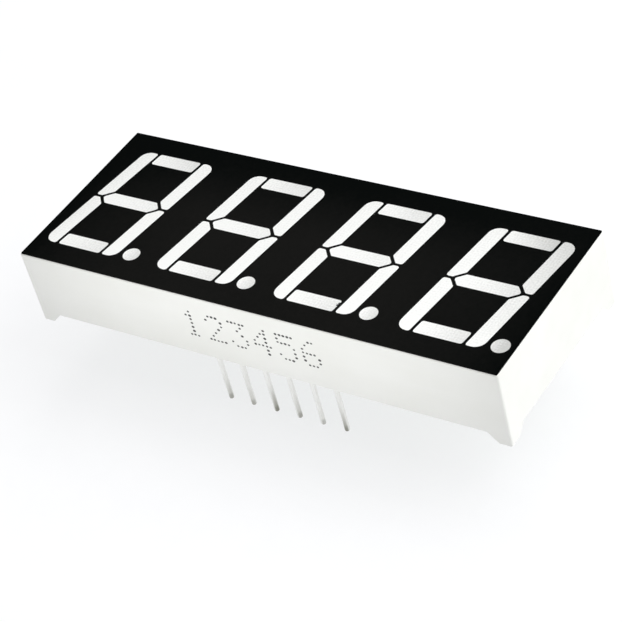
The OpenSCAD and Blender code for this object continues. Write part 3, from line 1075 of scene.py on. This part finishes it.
@dataclass
class WirePins:
    """The twelve tinned wires, each swept along its axis, with an uneven coat and a cut tip."""

    count: int = 12
    sides: int = 24
    ring_spacing: float = 0.06
    tip_share: float = 0.8
    tip_height: float = 0.08
    unevenness: float = 0.012
    swells_per_mm: float = 1.4

    def swept(self, graph: PieceTree) -> bpy.types.NodeSocket:
        """A tube from the foot upwards, in even rings, that narrows to its cut tip.

        Args:
            graph: The wire's tree.

        Returns:
            The tube.
        """
        ends = {"Start": graph.given("Foot"), "End": graph.given("Top")}
        line = graph.node("GeometryNodeCurvePrimitiveLine", inputs=ends)
        spacing = {"Curve": line.outputs[0], "Length": graph.given("Ring spacing")}
        rings = graph.node("GeometryNodeResampleCurve", {"mode": "LENGTH"}, spacing)
        spline = graph.node("GeometryNodeSplineParameter")
        height = Value(graph, spline.outputs["Length"])
        rise = (height / graph.size("Tip height")).math("MINIMUM", 1.0)
        share = graph.size("Tip share") + (1 - graph.size("Tip share")) * rise
        section = {"Resolution": self.sides, "Radius": graph.given("Radius")}
        circle = graph.node("GeometryNodeCurvePrimitiveCircle", inputs=section)
        sweep = {
            "Curve": rings.outputs[0],
            "Profile Curve": circle.outputs[0],
            "Scale": share,
            "Fill Caps": True,
        }
        return graph.node("GeometryNodeCurveToMesh", inputs=sweep).outputs[0]

    def coated(self, graph: PieceTree, tube: bpy.types.NodeSocket) -> bpy.types.NodeSocket:
        """The tube with its sides pushed in and out a little, as an uneven coat of tin.

        Args:
            graph: The wire's tree.
            tube: The even tube.

        Returns:
            The uneven tube.
        """
        place = graph.node("GeometryNodeInputPosition")
        coarse = {"Vector": place.outputs[0], "Scale": self.swells_per_mm / MM, "Detail": 2.0}
        noise = graph.node("ShaderNodeTexNoise", inputs=coarse)
        swell = (Value(graph, noise.outputs[0]) - 0.5) * graph.size("Unevenness")
        normal = graph.node("GeometryNodeInputNormal")
        scaled = {0: normal.outputs[0], "Scale": swell}
        push = graph.node("ShaderNodeVectorMath", {"operation": "SCALE"}, scaled)
        flat = {0: push.outputs[0], 1: (1, 1, 0)}
        level = graph.node("ShaderNodeVectorMath", {"operation": "MULTIPLY"}, flat)
        moved = {"Geometry": tube, "Offset": level.outputs[0]}
        return graph.node("GeometryNodeSetPosition", inputs=moved).outputs[0]

    def tree(self) -> PieceTree:
        """The tree that sweeps one wire from its foot to its top.

        Returns:
            The tree, whose inputs are the wire's radius, the spacing of its rings, the share of
            its radius at the tip, the height that the tip narrows over, the unevenness of its
            coat, the places of its foot and top, and its material.
        """
        lengths = ("Radius", "Ring spacing", "Tip share", "Tip height", "Unevenness")
        inputs = {label: SizeSocket.LENGTH for label in lengths}
        inputs |= {"Foot": SizeSocket.PLACE, "Top": SizeSocket.PLACE}
        graph = PieceTree("tinned_wire", {**inputs, "Material": SizeSocket.MATERIAL})
        graph.finish(self.coated(graph, self.swept(graph)))
        return graph

    def build(self, material: bpy.types.Material) -> list[bpy.types.Object]:
        """Makes the wires in place of the plain pins.

        Args:
            material: The wires' finish.

        Returns:
            One piece for each wire.
        """
        tree = self.tree()
        pieces = []
        for number in range(1, self.count + 1):
            node = f"pin_{number:02d}"
            low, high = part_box(node)
            foot = Vector(((low.x + high.x) / 2, (low.y + high.y) / 2, low.z))
            sizes = {
                "Radius": (high.x - low.x) / 2,
                "Ring spacing": self.ring_spacing * MM,
                "Tip share": self.tip_share,
                "Tip height": self.tip_height * MM,
                "Unevenness": self.unevenness * MM,
                "Foot": foot,
                "Top": Vector((foot.x, foot.y, high.z)),
                "Material": material,
            }
            piece = tree.apply(f"tinned_wire_{number:02d}", point_mesh(node, [foot]), sizes)
            smooth_sides(piece.data)
            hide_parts(node)
            pieces.append(piece)
        return pieces


def smooth_sides(mesh: bpy.types.Mesh, limit: float = 40.0) -> None:
    """Shades a mesh smooth, apart from its edges sharper than the limit in degrees."""
    mesh.shade_smooth()
    mesh.set_sharp_from_angle(angle=math.radians(limit))


class Numeral(Enum):
    """The numerals of the pins along the front wall, on a grid of five by seven dots."""

    ONE = ("..#..", ".##..", "..#..", "..#..", "..#..", "..#..", ".###.")
    TWO = (".###.", "#...#", "....#", "...#.", "..#..", ".#...", "#####")
    THREE = ("#####", "...#.", "..#..", "...#.", "....#", "#...#", ".###.")
    FOUR = ("...#.", "..##.", ".#.#.", "#..#.", "#####", "...#.", "...#.")
    FIVE = ("#####", "#....", "####.", "....#", "....#", "#...#", ".###.")
    SIX = ("..##.", ".#...", "#....", "####.", "#...#", "#...#", ".###.")


@dataclass
class PinNumbers:
    """Plain numerals of fine ink dots on the front wall, one over each pin of the front row."""

    column_pitch: float = 0.4
    row_pitch: float = 0.46
    top_margin: float = 1.8
    dot_radius: float = 0.124
    dot_stretch: float = 1.2
    dot_height: float = 0.004
    dot_sides: int = 14
    dot_sizes: tuple[float, float] = (0.75, 1.1)
    scatter: float = 0.03
    scatter_seed: int = 7
    size_seed: int = 8

    def dots(self) -> list[Vector]:
        """The middle of every dot, on the wall, in metres.

        Returns:
            The points, numeral by numeral.
        """
        wall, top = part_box("housing")[0].y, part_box("housing")[1].z
        places = []
        for number, numeral in enumerate(Numeral, start=1):
            low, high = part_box(f"pin_{number:02d}")
            centre = (low.x + high.x) / 2
            for row, marks in enumerate(numeral.value):
                for column, mark in enumerate(marks):
                    if mark == "#":
                        aside = (column - 2) * self.column_pitch * MM
                        down = (self.top_margin + row * self.row_pitch) * MM
                        places.append(Vector((centre + aside, wall, top - down)))
        return places

    def tree(self) -> PieceTree:
        """The tree that puts a thin round dot on every point, each a little out of place.

        Returns:
            The tree, whose inputs are a dot's radius, stretch along the wall and height, how far
            a dot may stray, and its material.
        """
        inputs = {label: SizeSocket.LENGTH for label in ("Radius", "Stretch", "Height", "Scatter")}
        graph = PieceTree("ink_dots", {**inputs, "Material": SizeSocket.MATERIAL})
        radius, scatter = graph.size("Radius"), graph.size("Scatter")
        sizes = {"Vertices": self.dot_sides, "Radius": radius, "Depth": graph.given("Height")}
        disc = graph.node("GeometryNodeMeshCylinder", inputs=sizes)
        reach = graph.node("ShaderNodeCombineXYZ", inputs={"X": scatter, "Z": scatter})
        turned_back = {0: reach.outputs[0], "Scale": -1.0}
        opposite = graph.node("ShaderNodeVectorMath", {"operation": "SCALE"}, turned_back)
        limits = {0: opposite.outputs[0], 1: reach.outputs[0], "Seed": self.scatter_seed}
        drift = graph.node("FunctionNodeRandomValue", {"data_type": "FLOAT_VECTOR"}, limits)
        placed = {"Geometry": graph.given("Geometry"), "Offset": drift.outputs[0]}
        moved = graph.node("GeometryNodeSetPosition", inputs=placed)
        points = graph.node("GeometryNodeMeshToPoints", inputs={"Mesh": moved.outputs[0]})
        spray = {2: self.dot_sizes[0], 3: self.dot_sizes[1], "Seed": self.size_seed}
        random = graph.node("FunctionNodeRandomValue", {"data_type": "FLOAT"}, spray)
        strength = Value(graph, random.outputs[1])
        widths = {"X": strength * graph.size("Stretch"), "Y": strength, "Z": 1.0}
        spread = graph.node("ShaderNodeCombineXYZ", inputs=widths)
        copies = {
            "Points": points.outputs[0],
            "Instance": disc.outputs[0],
            "Rotation": (math.pi / 2, 0, 0),
            "Scale": spread.outputs[0],
        }
        graph.finish(graph.node("GeometryNodeInstanceOnPoints", inputs=copies).outputs[0])
        return graph

    def build(self, material: bpy.types.Material) -> bpy.types.Object:
        """Makes the dots as one piece that stands half its height out of the wall.

        Args:
            material: The dots' finish.

        Returns:
            The piece.
        """
        sizes = {
            "Radius": self.dot_radius * MM,
            "Stretch": self.dot_stretch,
            "Height": self.dot_height * MM,
            "Scatter": self.scatter * MM,
            "Material": material,
        }
        return self.tree().apply("pin_numbers", point_mesh("dots", self.dots()), sizes)


# ---- The module, its surroundings and its view


@dataclass
class DisplayModule:
    """The whole part: a finish for every CAD node, and the pieces made here."""

    wires: WirePins
    numbers: PinNumbers
    fleck_bar: str = "segment_3d"
    fleck_inset: tuple[float, float] = (0.08, 0.55)

    def finishes(self) -> dict[Slot, Finish]:
        """The finish of each material slot.

        Returns:
            The finishes by their slots.
        """
        pins = PinGrid.measured()
        corner = middle(self.fleck_bar) + extent(self.fleck_bar) / 2
        fleck = (corner.x - self.fleck_inset[0], corner.y - self.fleck_inset[1])
        return {
            Slot.HOUSING: MouldedPlastic(),
            Slot.INK: ScreenInk(),
            Slot.RESIN: MilkyResin(grid=DigitGrid.measured(), fleck=fleck),
            Slot.LAMINATE: SolderResist(),
            Slot.COPPER: ResistedCopper(grid=pins),
            Slot.DIE: PolishedDie(),
            Slot.WIRE: DrawnGold(),
            Slot.SOLDER: SatinSolder(),
            Slot.POTTING: ClearResin(),
            Slot.PIN: TinnedWire(grid=pins),
        }

    def build(self) -> None:
        """Dresses the CAD nodes and adds the new pieces."""
        finishes = self.finishes().items()
        materials = {slot.value: finish.material(slot.value) for slot, finish in finishes}
        for part in frame["record"]["subparts"]:
            body = frame["nodes"][part["node"]]
            body.data.materials.clear()
            body.data.materials.append(materials[part["material_slot"]])
            log.info("%s is finished in %s", part["node"], part["material_slot"])
        for wire in self.wires.build(materials[Slot.PIN.value]):
            self.add(wire, Slot.PIN)
        self.add(self.numbers.build(MarkingInk().material("marking_ink")), Slot.INK)

    def add(self, piece: bpy.types.Object, slot: Slot) -> None:
        """Fixes a new piece to the module's one body and reports it.

        Args:
            piece: The piece.
            slot: Not used.
        """
        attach(piece, BODY)
        log.info("%s has %d faces", piece.name, len(piece.data.polygons))


@dataclass(frozen=True)
class SoftLight:
    """A broad lamp that looks at the middle of the module."""

    name: str
    azimuth: float
    elevation: float
    distance: float
    width: float
    height: float
    power: float
    flagged: bool = False

    def build(self, target: Vector, floor: bpy.types.Object) -> None:
        """Places the lamp.

        Args:
            target: What it looks at, in metres.
            floor: What a flagged lamp sheds no light on.
        """
        lamp = bpy.data.lights.new(self.name, "AREA")
        lamp.shape = "RECTANGLE"
        lamp.size, lamp.size_y = self.width, self.height
        lamp.energy = self.power
        away = direction(self.azimuth, self.elevation)
        holder = bpy.data.objects.new(self.name, lamp)
        holder.location = target + away * self.distance
        holder.rotation_euler = away.to_track_quat("Z", "Y").to_euler()
        holder.visible_camera = False
        bpy.context.scene.collection.objects.link(holder)
        if self.flagged:
            flag = bpy.data.collections.new(f"{self.name}_flag")
            flag.objects.link(floor)
            flag.collection_objects[0].light_linking.link_state = "EXCLUDE"
            holder.light_linking.receiver_collection = flag


def direction(azimuth: float, elevation: float) -> Vector:
    """The way from the module to a viewer.

    Args:
        azimuth: The viewer's bearing in degrees: 0 in front, at -Y, and 90 at +X.
        elevation: The viewer's height in degrees above the level.

    Returns:
        A vector of length 1.
    """
    turn, lift = math.radians(azimuth), math.radians(elevation)
    return Vector((
        math.sin(turn) * math.cos(lift),
        -math.cos(turn) * math.cos(lift),
        math.sin(lift),
    ))


@dataclass
class Studio:
    """A glowing pale table in white light, with two soft lamps behind and a strip lamp in front."""

    floor_side: float = 3.0
    sky_strength: float = 0.28
    sky: Colour = (1.0, 1.0, 1.0)
    lights: tuple[SoftLight, ...] = (
        SoftLight("key", 110.0, 40.0, 0.6, 0.5, 0.5, 2.84),
        SoftLight("top", 180.0, 55.0, 0.6, 0.5, 0.5, 1.58),
        SoftLight("strip", 0.0, 20.0, 0.024, 0.048, 0.008, 0.002, flagged=True),
    )

    def build(self) -> None:
        """Makes the floor, the sky and the lamps."""
        floor = self.floor()
        world = bpy.data.worlds.new("studio")
        world.use_nodes = True
        graph = Graph(world.node_tree)
        light = {"Color": self.sky, "Strength": self.sky_strength}
        sky = graph.node("ShaderNodeBackground", inputs=light)
        graph.node("ShaderNodeOutputWorld", inputs={"Surface": sky.outputs[0]})
        bpy.context.scene.world = world
        low, high = cad_box
        for lamp in self.lights:
            lamp.build((low + high) / 2, floor)
        bpy.context.scene.view_settings.view_transform = "Standard"

    def floor(self) -> bpy.types.Object:
        """The plain table top that the module stands on.

        Returns:
            The floor.
        """
        half = self.floor_side / 2
        corners = [(-half, -half, 0), (half, -half, 0), (half, half, 0), (-half, half, 0)]
        mesh = bpy.data.meshes.new("floor")
        mesh.from_pydata(corners, [], [(0, 1, 2, 3)])
        mesh.materials.append(PaleFloor().material("pale_floor"))
        table = bpy.data.objects.new("floor", mesh)
        bpy.context.scene.collection.objects.link(table)
        return table


@dataclass(frozen=True)
class Viewpoint:
    """The camera: a long lens that looks down on the front right corner, tilted to its right."""

    target: tuple[float, float, float] = (2.687, -3.988, 10.0)
    azimuth: float = 42.547
    elevation: float = 39.069
    roll: float = -15.91
    distance: float = 191.7
    lens: float = 126.78
    sensor: float = 36.0
    clip: tuple[float, float] = (0.01, 10.0)

    def build(self) -> None:
        """Makes the scene's camera."""
        camera = bpy.data.cameras.new("camera")
        camera.lens = self.lens
        camera.sensor_width = self.sensor
        camera.clip_start, camera.clip_end = self.clip
        away = direction(self.azimuth, self.elevation)
        holder = bpy.data.objects.new("camera", camera)
        place = (Vector(self.target) + away * self.distance) * MM
        turn = away.to_track_quat("Z", "Y").to_matrix().to_4x4()
        tilt = Matrix.Rotation(math.radians(self.roll), 4, "Z")
        holder.matrix_world = Matrix.Translation(place) @ turn @ tilt
        bpy.context.scene.collection.objects.link(holder)
        bpy.context.scene.camera = holder


def main() -> None:
    """Builds the view, the surroundings and the module, in that order."""
    logging.basicConfig(level=logging.INFO, format="%(name)s: %(message)s")
    Viewpoint().build()
    Studio().build()
    DisplayModule(WirePins(), PinNumbers()).build()


if __name__ == "__main__":
    main()
